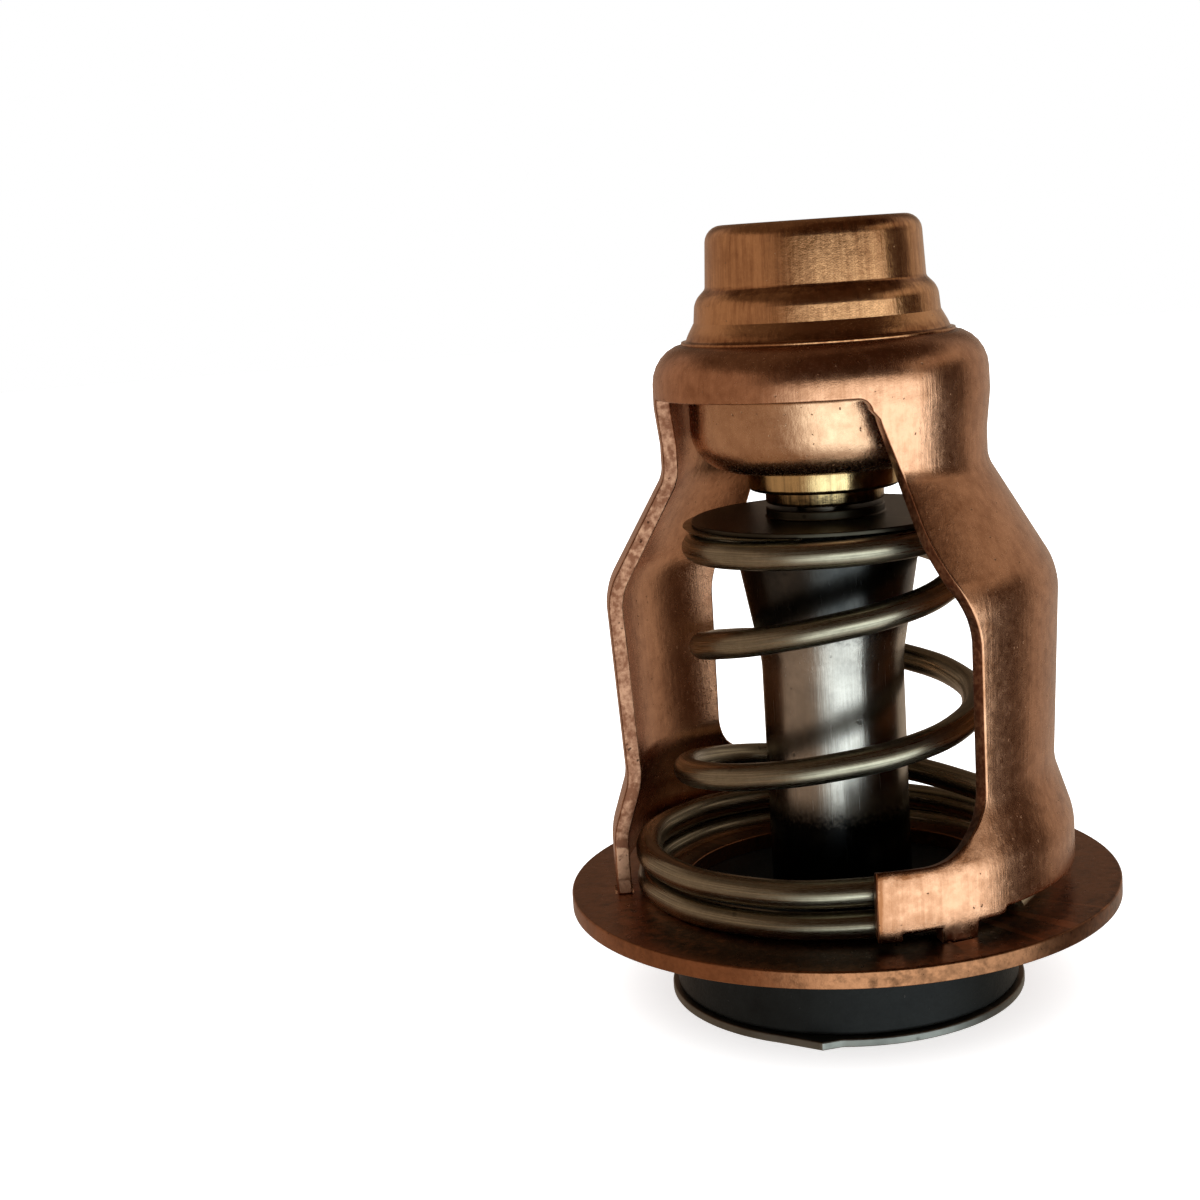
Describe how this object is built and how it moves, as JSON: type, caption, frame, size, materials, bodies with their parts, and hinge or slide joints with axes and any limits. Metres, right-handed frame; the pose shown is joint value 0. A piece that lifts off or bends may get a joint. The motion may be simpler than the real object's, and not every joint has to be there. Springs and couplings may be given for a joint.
{
  "type": "engine thermostat",
  "caption": "Wax-capsule coolant thermostat: a pressed copper cage on a round flange holds a stepped capsule, with a sprung rubber disc valve under the flange.",
  "frame": {"origin": "centre of the mounting flange's underside, on the valve axis", "axes": "+Z along the valve axis from the rubber valve towards the capsule; -Y is the front, where the open window between the two legs is; +X to the right seen from the front"},
  "size_m": [0.04, 0.04, 0.0556],
  "materials": {
    "cage_copper": "pressed copper, satin, faintly brushed",
    "flange_copper": "darkened copper alloy, satin",
    "cup_copper": "drawn copper with draw lines",
    "bowl_copper": "drawn copper, fine orange peel",
    "wax": "copper-filled wax, matt",
    "inner_rubber": "matt black rubber",
    "guide_brass": "turned brass",
    "backing_plastic": "white slippery plastic",
    "spring_steel": "oiled dark spring steel",
    "piston_steel": "ground stainless steel",
    "retainer_steel": "dark steel sheet",
    "stem_plated": "bright plated, scratched",
    "valve_rubber": "black rubber, satin",
    "plate_steel": "grey stainless sheet",
    "rivet_steel": "steel rivet"
  },
  "bodies": {
    "frame": {"cage": "cage_copper", "seat_flange": "flange_copper", "capsule_cup": "cup_copper", "capsule_bowl": "bowl_copper", "wax_pellet": "wax", "diaphragm": "inner_rubber", "guide_bush": "guide_brass", "rubber_plug": "inner_rubber", "backup_disc": "backing_plastic", "spring": "spring_steel"},
    "valve": {"piston": "piston_steel", "spring_retainer": "retainer_steel", "stem_cup": "stem_plated", "valve_rubber": "valve_rubber", "valve_plate": "plate_steel", "valve_rivet": "rivet_steel"}
  },
  "joints": [
    {"name": "valve_lift", "type": "slide", "parent": "frame", "child": "valve", "axis": [0, 0, -1], "range_m": [0, 0.0045], "stiffness_N_per_m": 1500, "springref_m": -0.004, "deforming": ["spring"]}
  ]
}
